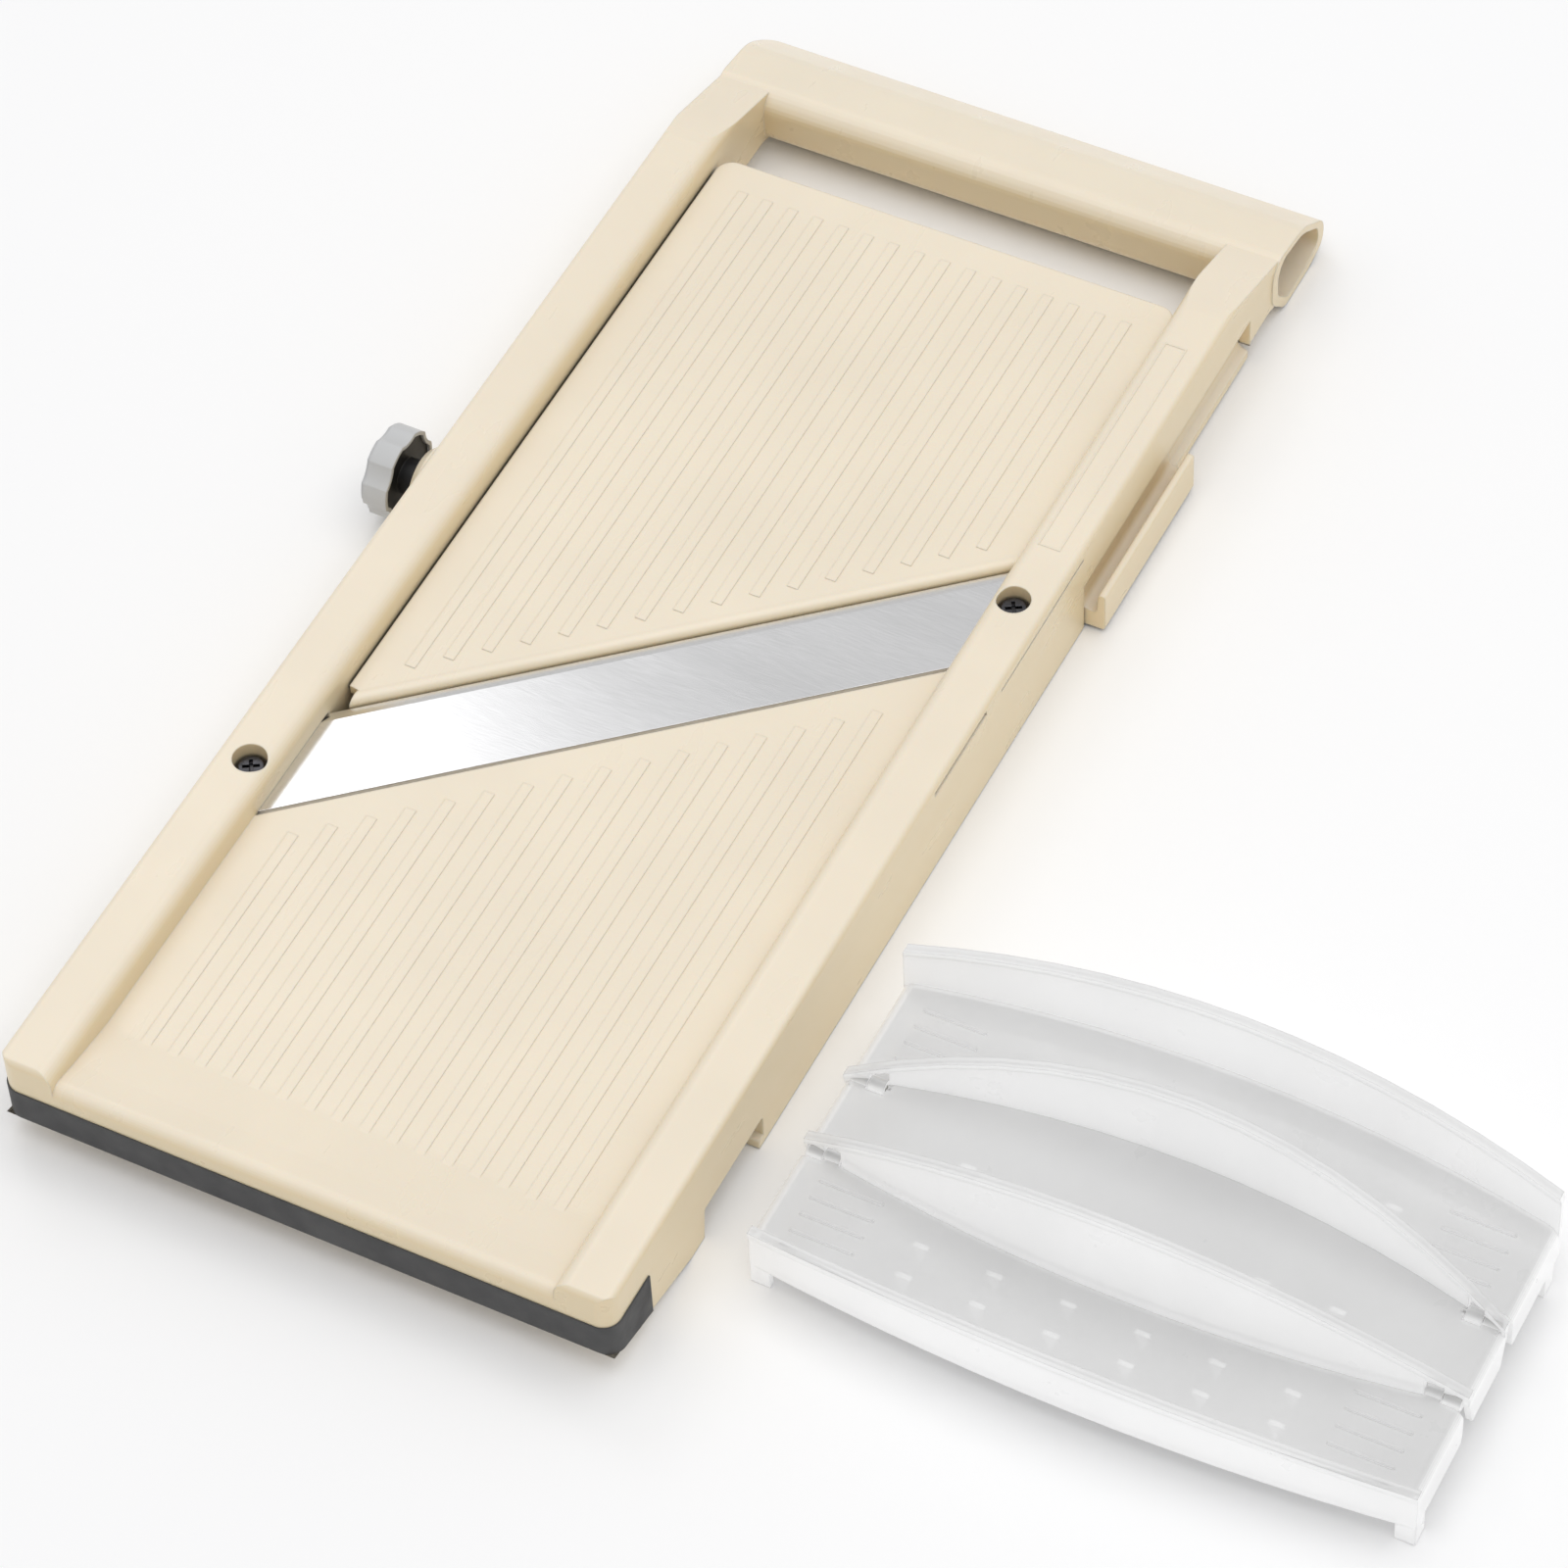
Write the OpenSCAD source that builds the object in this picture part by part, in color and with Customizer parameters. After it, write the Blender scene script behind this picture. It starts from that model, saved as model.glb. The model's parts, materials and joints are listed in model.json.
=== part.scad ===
/* [Body] */
// Width across both side rails
body_w = 160; // [140:1:192]
// Length from the front face to the back of the handle
body_l = 391; // [350:1:470]
// Height of the rail tops above the resting plane
body_h = 29; // [28:0.5:35]
// Width of each side rail
rail_w = 14.5; // [13.5:0.5:17.5]
// Thickness of the moulded walls
wall = 3; // [2.6:0.1:3.6]
// Depth of the decks below the rail tops
deck_drop = 8; // [7:0.5:9.5]
// Thickness of the fixed front deck
deck_t = 3; // [2.5:0.1:3.6]
// Spacing of the fine ribs on both decks
rib_pitch = 7.25; // [5:0.25:10]
// Distance from the front face back to the heel strip
heel_back = 40; // [36:1:48]

/* [Blade] */
// Visible width of the blade across its edge
blade_w = 26.2; // [22:0.2:31]
// Thickness of the blade
blade_t = 1.2; // [0.8:0.1:1.5]
// Skew of the blade from square
blade_angle = 40.5; // [34:0.5:44]
// Distance from the front face to the middle of the blade
blade_back = 167.3; // [160:0.1:200]
// Radius of the blade screw shanks
screw_r = 2; // [1.6:0.1:2.4]

/* [Table] */
// Thickness of the adjustable table
table_t = 2.6; // [2.2:0.1:3]
// Height of the table above the blade at the thinnest cut
table_rise = 0.5; // [0.3:0.1:1]
// Distance the dial lowers the table above its shaft
cam_lift = 2.7; // [1.8:0.1:2.8]
// Gap in plan between the cutting edge and the table
slice_gap = 0.8; // [0.6:0.1:2]
// Side gap between the table and the rails
table_gap = 0.8; // [0.6:0.1:1.2]
// Radius of the table hinge pins
pin_r = 1.5; // [1.2:0.1:1.7]

/* [Dial] */
// Radius of the thickness knob
knob_r = 11.8; // [10:0.2:12.8]
// Width of the knob rim
knob_w = 7.5; // [6:0.5:9]
// Number of lobes around the knob
knob_lobes = 6; // [5:1:8]
// Radius of the dial shaft
shaft_r = 1.5; // [1.3:0.05:1.7]
// Distance from the front face to the dial shaft
dial_back = 209; // [200:1:216]
// Height of the dial shaft
dial_z = 13.5; // [13:0.1:13.6]

/* [Handle] */
// Length of the sloped arms behind the rail shoulders
arm_run = 58; // [52:1:64]
// Slope of the arms
arm_slope = 16.1; // [14:0.1:17]
// Wall of the handle tube
tube_wall = 2.2; // [1.8:0.1:2.8]

/* [Drawer] */
// Distance the drawer reaches in from the right side
drawer_reach = 128; // [120:1:134]
// Wall thickness of the drawer
drawer_wall = 1.6; // [1.2:0.1:2]
// Distance the finger tab stands out from the side
tab_out = 5.5; // [3:0.5:8]
// Length of the finger tab along the side
tab_l = 52; // [40:1:62]

/* [Guard] */
// Clearance between the guard flanges and the slicer sides
guard_gap = 0.4; // [0.3:0.1:1]
// Thickness of the guard walls
guard_t = 1.6; // [1.4:0.1:2]
// Height of the guard plate above the worktop
guard_h = 18; // [16:0.5:21.6]
// Depth of the front panel
front_d = 28; // [26:0.5:33]
// Depth of the grip panel at its ends
grip_d = 22.5; // [20:0.5:27]
// Depth of the rear panel
rear_d = 30.5; // [28:0.5:36]
// Spacing of the food spikes along a row
spike_pitch = 18.3; // [15:0.1:20]
// Clear distance between the slicer and the guard
guard_apart = 15; // [10:1:60]

/* [Hidden] */
$fn = 48;

// Small length that carries a cut past the face it opens
cut = 1;
// Radial play of a pin or shaft that turns in its bore
running = 0.05;

// Body stations: Y runs from the front face to the handle, with the heel strip at zero
half_w = body_w / 2;
in_half = half_w - rail_w;
y_front = -heel_back;
y_rear = y_front + body_l;
y_shoulder = y_rear - arm_run;
deck_z = body_h - deck_drop;
rail_top_t = 4;
cavity_in = in_half + wall;
cavity_out = half_w - wall;

// Raised nose at the front of the deck, its fine ribs and the ribs below it
nose_top = deck_z + deck_drop / 2;
nose_l = 10;
nose_run = 24;
rib_h = 0.2;
rib_line = 2.8;
stiff_t = 2;
stiff_h = 5;

// Foot and bowl relief under the front of the rails
foot_z = 8;
foot_strip_h = 10;
foot_t = 2.5;
foot_wrap = 17.5;
foot_proud = 0.4;
heel_half = 3;
foot_slope = foot_z / (heel_back - heel_half);
relief_y0 = heel_half + 1;
relief_y1 = 33;
relief_z = 9.6;
tongue_l = 2.4;
tongue_h = 2.6;
front_round = 4.5;

// Blade and its seat
y_blade = y_front + blade_back;
blade_half = blade_w / 2;
blade_end = cavity_out - 0.5;
bed_gap = 1;
bed_t = 3.8;
bed_reach = 5;
screw_x = half_w - 8.5;
screw_off = -3;
screw_head_r = 3.6;
screw_head_h = 2.4;
head_sink = 3;
counterbore_r = 4.3;
head_seat = body_h - head_sink - screw_head_h;
boss_half = 6;
boss_z = 8.5;
nut_af = 7;
nut_h = 3.2;
nut_z = boss_z + 1.2;
nut_gap = 0.1;

// Table and its hinge
table_top = deck_z + table_rise;
table_z = table_top - table_t;
table_half = in_half - table_gap;
table_end = y_rear - 56.5;
lip_r = 2.3;
hinge_y = table_end - 6.5;
hinge_z = table_z - 2.5;
lug_r = 2.8;
lug_w = 6;
pin_in = wall;

// Dial train along X on the left side
y_dial = y_front + dial_back;
boss_r = 11;
boss_out = 5.4;
bush_r = 3;
bush_flange_r = 4.4;
bush_flange_t = 0.7;
hub_r = 4.8;
hub_w = 2.6;
hub_rim = 1;
hub_sink = 3;
hub_x = -half_w - boss_out - bush_flange_t - 0.3;
knob_x = hub_x - hub_w;
shaft_end = -18;
cam_gap = 0.15;
cam_high = table_z - dial_z - cam_gap;
cam_turn = 270;
cam_w = 6;
cam_pitch = 21;
web_t = 3;
web_x = shaft_end - 6;
web_top = table_z - cam_lift - 0.4;
clip_x = web_x + web_t + 0.6;
clip_t = 0.7;
clip_r = shaft_r + 0.8;
groove_r = shaft_r - 0.45;
knob_screw_r = 0.9;
knob_recess = 1.6;

// Drawer bay under the table
drawer_y0 = blade_y(screw_x, screw_off) + 22.5;
drawer_y1 = table_end - 4.1;
drawer_z0 = 2.4;
drawer_top = hinge_z - lug_r - 0.9;
drawer_play = 0.6;
bay_rib_t = 3;
bay_top = drawer_top + 0.7;
ledge_z = 0.6;
ledge_t = 1.5;
ledge_reach = 6;
wall_end = y_rear - 46;
door_top = deck_z - 6;
door_in = half_w - 6.5;
door_z0 = 0.8;
lip_z = 4.2;
tab_t = 2;

// Comb blades lying side by side in the drawer
comb_t = 1;
comb_margin = 1.2;
divider_t = 1.2;
drawer_in0 = drawer_y0 + drawer_wall;
drawer_in1 = drawer_y1 - drawer_wall;
lane = (drawer_in1 - drawer_in0 - 2 * divider_t) / 3;
comb_x0 = half_w - drawer_reach + drawer_wall + comb_margin;
comb_x1 = door_in - comb_margin;
comb_tooth_h = 6;

// Handle tube in side view
tube_y = y_rear - 17;
tube_z = 10.5;
tube_h = 21;
tube_proud = 0.4;
arm_low_y = y_rear - 29;
arm_low_z = body_h - (arm_low_y - y_shoulder) * tan(arm_slope);
handle_round = 9;

// Guard stations
guard_half = half_w + guard_gap + guard_t;
guard_x = half_w + guard_apart + guard_half;
guard_y = -3;
fold_y1 = guard_y + front_d;
fold_y2 = fold_y1 + grip_d;
guard_end = fold_y2 + rear_d;
fold_z = guard_h - guard_t / 2;
flange_z = 6.5;
flange_lean = 3;
guard_round = 3;
fold_gap = 0.8;
front_bow = -5;
grip_front_bow = -7.6;
grip_rear_bow = 12.5;
rear_bow = 9;
knuckle_r = 2;
knuckle_w = 4;
knuckle_gap = 0.3;
guard_pin_r = 0.9;
leg_w = 5;
bow_steps = 14;
bead_w = 0.5;
bead_h = 1.6;
wall_reach = 20;
knuckle_room = 2.6;
bridge_reach = 8;
spike_w = 4.4;
spike_l = 6;
spike_t = 1.4;
line_pitch = 5;
line_w = 0.7;
line_h = 0.4;

// Y of the blade line at station x, moved v across the blade
function blade_y(x, v) = y_blade + x * tan(blade_angle) + v / cos(blade_angle);

// Plan of everything between the front face and a line v across from the blade line
function ahead_of_blade(v) =
    let (x = in_half + cut)
    [[-x, y_front], [x, y_front], [x, blade_y(x, v)], [-x, blade_y(-x, v)]];

// Plan of the blade
function blade_plan() = [
    [-blade_end, blade_y(-blade_end, -blade_half)],
    [blade_end, blade_y(blade_end, -blade_half)],
    [blade_end, blade_y(blade_end, blade_half)],
    [-blade_end, blade_y(-blade_end, blade_half)]
];

// Outline with each corner [x, y, r] rounded to its own radius
function unit(v) = v / norm(v);
function corner(a, b, c, r) =
    let (
        p = [b.x, b.y],
        u = unit([a.x, a.y] - p),
        v = unit([c.x, c.y] - p),
        half = acos(u * v) / 2,
        centre = p + unit(u + v) * r / sin(half),
        start = p + u * r / tan(half) - centre,
        end = p + v * r / tan(half) - centre,
        a0 = atan2(start.y, start.x),
        sweep = (atan2(end.y, end.x) - a0 + 540) % 360 - 180,
        steps = max(3, ceil(abs(sweep) / 12))
    )
    r == 0 ? [p] : [
        for (i = [0:steps])
            centre + r * [cos(a0 + sweep * i / steps), sin(a0 + sweep * i / steps)]
    ];
function rounded(c) = [
    for (i = [0:len(c) - 1])
        each corner(c[(i + len(c) - 1) % len(c)], c[i], c[(i + 1) % len(c)], c[i][2])
];

// Extrudes a Y-Z outline from x0 to x1
module side_plate(x0, x1, outline) {
    translate([x0, 0, 0])
        rotate([90, 0, 90])
            linear_extrude(x1 - x0)
                polygon(outline);
}

// Extrudes an X-Z outline from y0 to y1
module front_plate(y0, y1, outline) {
    translate([0, y1, 0])
        rotate([90, 0, 0])
            linear_extrude(y1 - y0)
                polygon(outline);
}

// Extrudes an X-Y outline from z0 to z1
module flat_plate(z0, z1, outline) {
    translate([0, 0, z0])
        linear_extrude(z1 - z0)
            polygon(outline);
}

// Box between two opposite corners
module block(a, b) {
    translate(a)
        cube(b - a);
}

// Round bar along X between two stations
module bar_x(x0, x1, y, z, r) {
    translate([x0, y, z])
        rotate([0, 90, 0])
            cylinder(r = r, h = x1 - x0);
}

module at_screws() {
    for (side = [-1, 1])
        translate([side * screw_x, blade_y(side * screw_x, screw_off), 0])
            children();
}

module both_sides() {
    children();
    mirror([1, 0, 0])
        children();
}

// Fine ribs along a deck, between a front and a rear edge given at each rib
module deck_ribs(z, y0, y1, v0, v1) {
    count = floor((in_half - 4) / rib_pitch);
    for (i = [0:2 * count - 1])
        let (
            x = (i - count + 0.5) * rib_pitch,
            start = v0 == 0 ? y0 : blade_y(x, v0),
            stop = v1 == 0 ? y1 : blade_y(x, v1)
        )
        block([x - rib_line / 2, start, z - 0.2], [x + rib_line / 2, stop, z + rib_h]);
}

// ---- Frame ----

// Side view of a rail, its foot, the bowl relief and the arm.
// The flat top lies a little over the rail, so only the arm and the shoulder trim it.
module rail_silhouette() {
    over = 0.5;
    side_plate(-half_w - cut, half_w + cut, rounded([
        [y_front, foot_z, 0],
        [y_front, body_h + over, 2.5],
        [y_shoulder - over / tan(arm_slope), body_h + over, 60],
        [arm_low_y, arm_low_z, 10],
        [arm_low_y + 15, arm_low_z - 2.2, 14],
        [y_rear - 2.5, 9.4, 5],
        [y_rear - 6, 1.6, 3],
        [y_rear - 12, 0, 3],
        [y_rear - 34, 6.5, 4],
        [wall_end, 6.5, 1],
        [wall_end, 0, 1],
        [relief_y1 - tongue_l, 0, 0],
        [relief_y1 - tongue_l, tongue_h, 1],
        [relief_y1, tongue_h, 0],
        [relief_y1, relief_z, 1],
        [relief_y0, relief_z, 1],
        [heel_half, 0, 0],
        [-heel_half, 0, 0]
    ]));
}

// Section of the right rail, run out past both ends
module rail_run() {
    front_plate(y_front - cut, y_rear + cut, rounded([
        [in_half, -cut, 0],
        [half_w, -cut, 0],
        [half_w, body_h, 1.8],
        [in_half, body_h, 4]
    ]));
}

module rail() {
    intersection() {
        rail_run();
        rail_silhouette();
    }
}

// Hollow inside the right rail, open below
module rail_cavity() {
    block([cavity_in, relief_y1 + wall, -cut],
          [cavity_out, y_shoulder - wall, body_h - rail_top_t]);
}

// Front deck with its raised nose, in side view
module deck() {
    intersection() {
        side_plate(-in_half - cut, in_half + cut, rounded([
            [y_front, foot_z, 0],
            [y_front, nose_top, 3],
            [y_front + nose_l, (nose_top + deck_z) / 2, 8],
            [y_front + nose_run, deck_z, 20],
            [blade_y(half_w, 0), deck_z, 0],
            [blade_y(half_w, 0), deck_z - deck_t, 0],
            [y_front + foot_wrap + wall, deck_z - deck_t, 0],
            [y_front + foot_wrap + wall, foot_z - foot_slope * (foot_wrap + wall), 0]
        ]));
        flat_plate(-cut, body_h, ahead_of_blade(-blade_half - bed_gap));
    }
    deck_ribs(deck_z, y_front + 18, 0, 0, -blade_half - 9);
}

// Skewed shelf that carries the blade
module blade_bed() {
    x = in_half + cut;
    flat_plate(deck_z - blade_t - bed_t, deck_z - blade_t, [
        [-x, blade_y(-x, -blade_half - bed_gap - 3)],
        [x, blade_y(x, -blade_half - bed_gap - 3)],
        [x, blade_y(x, bed_reach)],
        [-x, blade_y(-x, bed_reach)]
    ]);
}

// Stiffening ribs below the front deck and the full-width heel beam
module deck_stiffeners() {
    bottom = deck_z - deck_t - stiff_h;
    top = deck_z - deck_t / 2;
    for (y = [relief_y1 + 4, relief_y1 + 26])
        intersection() {
            block([-in_half - cut, y, bottom], [in_half + cut, y + stiff_t, top]);
            flat_plate(0, body_h, ahead_of_blade(-blade_half - bed_gap));
        }
    for (i = [-1:1])
        let (x = i * in_half / 2)
        block([x - stiff_t / 2, y_front + foot_wrap, bottom],
              [x + stiff_t / 2, blade_y(x, -blade_half), top]);
    side_plate(-in_half - cut, in_half + cut, [
        [-heel_half, 0],
        [heel_half, 0],
        [heel_half + 1, top],
        [-heel_half - 2, top],
        [-heel_half - 2, 2 * foot_slope]
    ]);
}

// Solid post in a rail that takes the blade screw and nut
module screw_posts() {
    post_half = rail_w / 2 - wall / 2;
    for (side = [-1, 1])
        let (
            x = side * (half_w - rail_w / 2),
            y = blade_y(side * screw_x, screw_off)
        )
        block([x - post_half, y - boss_half, boss_z],
              [x + post_half, y + boss_half, body_h - wall / 2]);
}

// Cross ribs and ledges of the drawer bay, and the web that carries the dial shaft
module drawer_bay() {
    x = in_half + cut;
    rib_a = drawer_y0 - drawer_play;
    rib_b = drawer_y1 + drawer_play;
    block([-x, rib_a - bay_rib_t, ledge_z], [x, rib_a, drawer_top]);
    block([-x, rib_b, ledge_z], [x, rib_b + bay_rib_t, drawer_top]);
    block([-x, rib_a - bay_rib_t, ledge_z], [x, rib_a + ledge_reach, ledge_z + ledge_t]);
    block([-x, rib_b - ledge_reach, ledge_z], [x, rib_b + bay_rib_t, ledge_z + ledge_t]);
    side_plate(web_x, web_x + web_t, rounded([
        [y_dial - 6, dial_z - 4, 2],
        [y_dial - 6, web_top, 2],
        [y_dial + 6, web_top, 2],
        [rib_a - bay_rib_t / 2, drawer_top, 0],
        [rib_a - bay_rib_t / 2, ledge_z, 0],
        [y_dial, dial_z - 6, 4]
    ]));
}

// Rounded teardrop section of the handle tube
module tube_outline() {
    polygon(rounded([
        [y_rear - 29, 21.4, 6],
        [y_rear - 14, 19.2, 16],
        [y_rear - 0.5, 9.6, 6],
        [y_rear - 1, 2.2, 4],
        [y_rear - 10, 0, 4],
        [y_rear - 25, 0, 6],
        [y_rear - 33, 8, 6],
        [y_rear - 33, 17.5, 5]
    ]));
}

// Rounds the two front corners in plan above z0; grow adds to the radius for an outer skin
module front_trim(z0, grow) {
    x = half_w - front_round;
    y = y_front + front_round;
    both_sides()
        difference() {
            block([x, y_front - cut, z0], [half_w + cut, y, body_h + cut]);
            translate([x, y, z0 - cut])
                cylinder(r = front_round + grow, h = body_h + 4 * cut);
        }
}

// Rounds the rear left corner of the handle in plan
module corner_trim() {
    x = -half_w + handle_round;
    y = y_rear - handle_round;
    difference() {
        block([-half_w - cut, y, -cut], [x, y_rear + cut, body_h]);
        translate([x, y, -2 * cut])
            cylinder(r = handle_round, h = body_h + 4 * cut);
    }
}

module handle_tube() {
    translate([-half_w, 0, 0])
        rotate([90, 0, 90])
            linear_extrude(body_w + tube_proud)
                tube_outline();
}

module tube_hollow() {
    inner = 1 - 2 * tube_wall / tube_h;
    translate([-half_w + wall, tube_y, tube_z])
        rotate([90, 0, 90])
            linear_extrude(body_w + tube_proud + cut)
                scale(inner)
                    translate([-tube_y, -tube_z])
                        tube_outline();
}

// Shallow dome on the left side around the dial shaft
module dial_boss() {
    intersection() {
        translate([-half_w + 1, y_dial, dial_z])
            rotate([0, -90, 0])
                rotate_extrude()
                    polygon([
                        [0, 0],
                        [boss_r, 0],
                        [boss_r - 0.8, 1 + boss_out * 0.5],
                        [boss_r - 2.4, 1 + boss_out * 0.85],
                        [boss_r - 5, 1 + boss_out],
                        [0, 1 + boss_out]
                    ]);
        block([-half_w - boss_out - cut, y_dial - boss_r - cut, 0.5],
              [0, y_dial + boss_r + cut, body_h - 3.5]);
    }
}

// Slot and fine groove high on the right side
module side_grooves() {
    z = body_h - 3.8;
    slot = [y_front + 164, y_front + 192];
    groove = [y_front + 200, y_front + 246];
    block([half_w - 2, slot[0], z - 0.1], [half_w + cut, slot[1], z + 1.4]);
    block([half_w - 1.2, groove[0], z - 0.3], [half_w + cut, groove[1], z + 0.3]);
}

// Plain raised border on the right rail
module rail_border() {
    line = 0.4;
    proud = 0.12;
    x0 = half_w - rail_w / 2 - 3.7;
    x1 = x0 + 6;
    y0 = y_shoulder - 90;
    y1 = y_shoulder - 16;
    difference() {
        block([x0, y0, body_h - 0.5], [x1, y1, body_h + proud]);
        block([x0 + line, y0 + line, body_h - cut], [x1 - line, y1 - line, body_h + cut]);
    }
}

module drawer_opening() {
    block([cavity_in - wall - cut, drawer_y0 - drawer_play, -cut],
          [cavity_in + cut, drawer_y1 + drawer_play, bay_top]);
    block([cavity_in, drawer_y0 - drawer_play, -cut], [half_w + cut, wall_end, door_top]);
}

module frame_holes() {
    at_screws() {
        translate([0, 0, head_seat])
            cylinder(r = counterbore_r, h = body_h);
        translate([0, 0, boss_z - cut])
            cylinder(r = screw_r + 0.1, h = body_h);
        translate([0, 0, boss_z - cut])
            cylinder(r = (nut_af / 2 + nut_gap) / cos(30), h = nut_z + nut_h - boss_z + cut, $fn = 6);
    }
    bar_x(-half_w - boss_out - cut, -cavity_out + cut, y_dial, dial_z, bush_r);
    bar_x(-cavity_in - cut, -in_half + cut, y_dial, dial_z, shaft_r + 0.4);
    bar_x(web_x - cut, web_x + web_t + cut, y_dial, dial_z, shaft_r + running);
    both_sides()
        bar_x(in_half - cut, in_half + pin_in, hinge_y, hinge_z, pin_r);
}

// Cut for the blade ends where they run into the rails
module blade_slot() {
    flat_plate(deck_z - blade_t, deck_z + 0.02, blade_plan());
}

module frame() {
    color([0.93, 0.88, 0.80])
    difference() {
        union() {
            both_sides()
                difference() {
                    rail();
                    rail_cavity();
                }
            deck();
            blade_bed();
            deck_stiffeners();
            screw_posts();
            drawer_bay();
            handle_tube();
            dial_boss();
            rail_border();
        }
        front_trim(foot_z + foot_strip_h - cut, 0);
        corner_trim();
        tube_hollow();
        drawer_opening();
        frame_holes();
        blade_slot();
        side_grooves();
        rubber_cap();
    }
}

// ---- Rubber foot ----

module rubber_cap() {
    x = half_w + foot_proud;
    difference() {
        side_plate(-x, x, [
            [y_front - foot_proud, foot_z + 0.5],
            [y_front - foot_proud, foot_z + foot_strip_h],
            [y_front + foot_wrap, foot_z + foot_strip_h],
            [y_front + foot_wrap, foot_z - foot_slope * foot_wrap],
            [y_front, foot_z]
        ]);
        side_plate(-half_w + foot_t, half_w - foot_t, [
            [y_front + foot_t, foot_z + 1.5],
            [y_front + foot_t, body_h],
            [y_front + foot_wrap + cut, body_h],
            [y_front + foot_wrap + cut, foot_z + 1.5 - foot_slope * (foot_wrap - foot_t + cut)]
        ]);
    }
}

module rubber_foot() {
    color([0.29, 0.29, 0.29])
    difference() {
        rubber_cap();
        front_trim(-cut, foot_proud);
    }
}

// ---- Blade ----

module main_blade() {
    grind = 3;
    color([0.86, 0.87, 0.89])
    difference() {
        flat_plate(deck_z - blade_t, deck_z, blade_plan());
        at_screws()
            translate([0, 0, deck_z - blade_t - cut])
                cylinder(r = screw_r + 0.2, h = blade_t + 2 * cut);
        translate([0, y_blade, deck_z])
            rotate([0, 0, blade_angle])
                side_plate(-body_w, body_w, [
                    [blade_half - grind, 0],
                    [blade_half + cut, 0.2],
                    [blade_half + cut, -blade_t * 0.75],
                    [blade_half, -blade_t * 0.75]
                ]);
    }
}

module blade_screws() {
    bevel = 0.6;
    slot_l = 4.2;
    slot_w = 0.9;
    head_top = head_seat + screw_head_h;
    color([0.36, 0.36, 0.38])
    at_screws()
        difference() {
            union() {
                translate([0, 0, head_seat])
                    cylinder(r = screw_head_r, h = screw_head_h - bevel);
                translate([0, 0, head_top - bevel])
                    cylinder(r1 = screw_head_r, r2 = screw_head_r - bevel, h = bevel);
                translate([0, 0, boss_z])
                    cylinder(r = screw_r, h = head_seat - boss_z + 0.1);
            }
            for (turn = [30, 120])
                rotate([0, 0, turn])
                    translate([-slot_l / 2, -slot_w / 2, head_top - 1.3])
                        cube([slot_l, slot_w, 2]);
        }
}

module blade_nuts() {
    color([0.72, 0.72, 0.74])
    at_screws()
        translate([0, 0, nut_z])
            difference() {
                cylinder(r = nut_af / 2 / cos(30), h = nut_h, $fn = 6);
                translate([0, 0, -cut])
                    cylinder(r = screw_r, h = nut_h + 2 * cut);
            }
}

// ---- Adjustable table ----

module adjust_table() {
    front = blade_half + slice_gap + lip_r;
    chamfer = 4;
    color([0.93, 0.88, 0.80])
    difference() {
        union() {
            flat_plate(table_z, table_top, rounded([
                [-table_half, blade_y(-table_half, front) + chamfer, 0],
                [-table_half + chamfer, blade_y(-table_half + chamfer, front), 0],
                [table_half, blade_y(table_half, front), 0],
                [table_half, table_end, 4.5],
                [-table_half, table_end, 4.5]
            ]));
            table_lip(front, chamfer);
            deck_ribs(table_top, 0, table_end - 9, front + 5, 0);
            both_sides()
                table_lug();
        }
        both_sides()
            bar_x(table_half - lug_w - cut, table_half + cut, hinge_y, hinge_z, pin_r + running);
    }
}

// Rounded front lip that runs beside the cutting edge
module table_lip(front, chamfer) {
    intersection() {
        translate([0, y_blade, table_top - lip_r + 0.15])
            rotate([0, 0, blade_angle])
                translate([0, front, 0])
                    bar_x(-body_w, body_w, 0, 0, lip_r);
        block([-table_half + chamfer * 0.6, y_front, 0], [table_half, table_end, body_h]);
    }
}

// Hinge lug under the rear right corner
module table_lug() {
    bar_x(table_half - lug_w, table_half, hinge_y, hinge_z, lug_r);
    block([table_half - lug_w, hinge_y - lug_r, hinge_z],
          [table_half, hinge_y + lug_r, table_z + 0.5]);
}

module table_hinge_pins() {
    color([0.75, 0.75, 0.77])
    both_sides()
        bar_x(table_half - lug_w, in_half + pin_in, hinge_y, hinge_z, pin_r);
}

// ---- Dial ----

// Lobed outline of the knob as a bar along X, made smaller all round by an inset
module knob_bar(x0, x1, inset) {
    flute_r = knob_r * 0.62;
    difference() {
        bar_x(x0, x1, y_dial, dial_z, knob_r - inset);
        for (i = [0:knob_lobes - 1])
            let (
                a = 360 * (i + 0.35) / knob_lobes,
                reach = knob_r + flute_r * 0.86
            )
            bar_x(x0 - cut, x1 + cut,
                  y_dial + reach * cos(a), dial_z + reach * sin(a), flute_r + inset);
    }
}

module thickness_knob() {
    color([0.78, 0.78, 0.78])
    difference() {
        union() {
            knob_bar(knob_x - knob_w + 0.8, knob_x, 0);
            knob_bar(knob_x - knob_w, knob_x - knob_w + 1, 0.8);
        }
        bar_x(knob_x - knob_w - cut, knob_x - knob_w + knob_recess, y_dial, dial_z, 3.6);
        bar_x(knob_x - knob_w, knob_x + cut, y_dial, dial_z, shaft_r);
        knob_bar(knob_x - hub_sink, knob_x + cut, hub_rim);
    }
}

module knob_hub() {
    color([0.09, 0.09, 0.09])
    difference() {
        union() {
            knob_bar(knob_x - hub_sink, knob_x - 0.8, hub_rim);
            bar_x(knob_x - 1, hub_x, y_dial, dial_z, hub_r);
        }
        bar_x(knob_x - hub_sink - cut, hub_x + cut, y_dial, dial_z, shaft_r);
    }
}

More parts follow.
